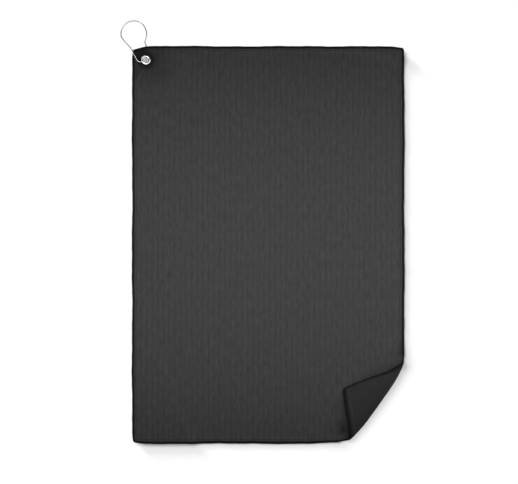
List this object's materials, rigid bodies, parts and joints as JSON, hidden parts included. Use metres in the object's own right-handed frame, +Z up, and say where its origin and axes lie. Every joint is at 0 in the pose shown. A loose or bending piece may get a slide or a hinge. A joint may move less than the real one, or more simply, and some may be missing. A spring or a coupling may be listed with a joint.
{
  "type": "golf towel",
  "caption": "Rectangular ribbed golf towel lying flat, one corner folded over, with a pear-shaped wire hook held in a corner eyelet.",
  "frame": {"origin": "on the surface the towel lies on, below the middle of the whole box", "axes": "+X across the towel, +Y along it towards the end with the hook, +Z up from the surface, out of the ribbed front"},
  "size_m": [0.4224, 0.6291, 0.0211],
  "materials": {
    "towel_cloth": "charcoal microfibre, fine lengthwise ribs, matt with a soft nap",
    "towel_back": "smooth flat side of the same charcoal microfibre, matt",
    "hem_cloth": "doubled cloth pressed flat, overlocked with dark thread",
    "eyelet_metal": "nickel plated, polished, light handling marks",
    "spring_wire": "drawn spring steel wire, nickel plated"
  },
  "bodies": {
    "towel": {"panel": "towel_cloth", "hem_top": "hem_cloth", "hem_left": "hem_cloth", "hem_right": "hem_cloth", "hem_bottom": "hem_cloth", "fold_turn": "towel_cloth", "eyelet": "eyelet_metal", "eyelet_washer": "eyelet_metal"},
    "corner": {"corner_flap": "towel_back", "flap_hem_right": "hem_cloth", "flap_hem_bottom": "hem_cloth"},
    "hook": {"hook_wire": "spring_wire"},
    "gate": {"hook_gate": "spring_wire"}
  },
  "joints": [
    {"name": "corner_fold", "type": "hinge", "parent": "towel", "child": "corner", "pos_m": [0.17352, -0.25827, 0.01135], "axis": [0.6326, 0.7738, 0.0337], "range_deg": [0, 195.3], "deforming": ["fold_turn"]},
    {"name": "hook_swivel", "type": "hinge", "parent": "towel", "child": "hook", "pos_m": [-0.1728, 0.25545, 0.0043], "axis": [0, 0, 1], "range_deg": [0, 60]},
    {"name": "gate_flex", "type": "hinge", "parent": "hook", "child": "gate", "pos_m": [-0.20471, 0.30806, 0.0009], "axis": [0, 0, -1], "range_deg": [0, 20], "stiffness_Nm_per_rad": 0.02, "springref_deg": -17.19}
  ]
}
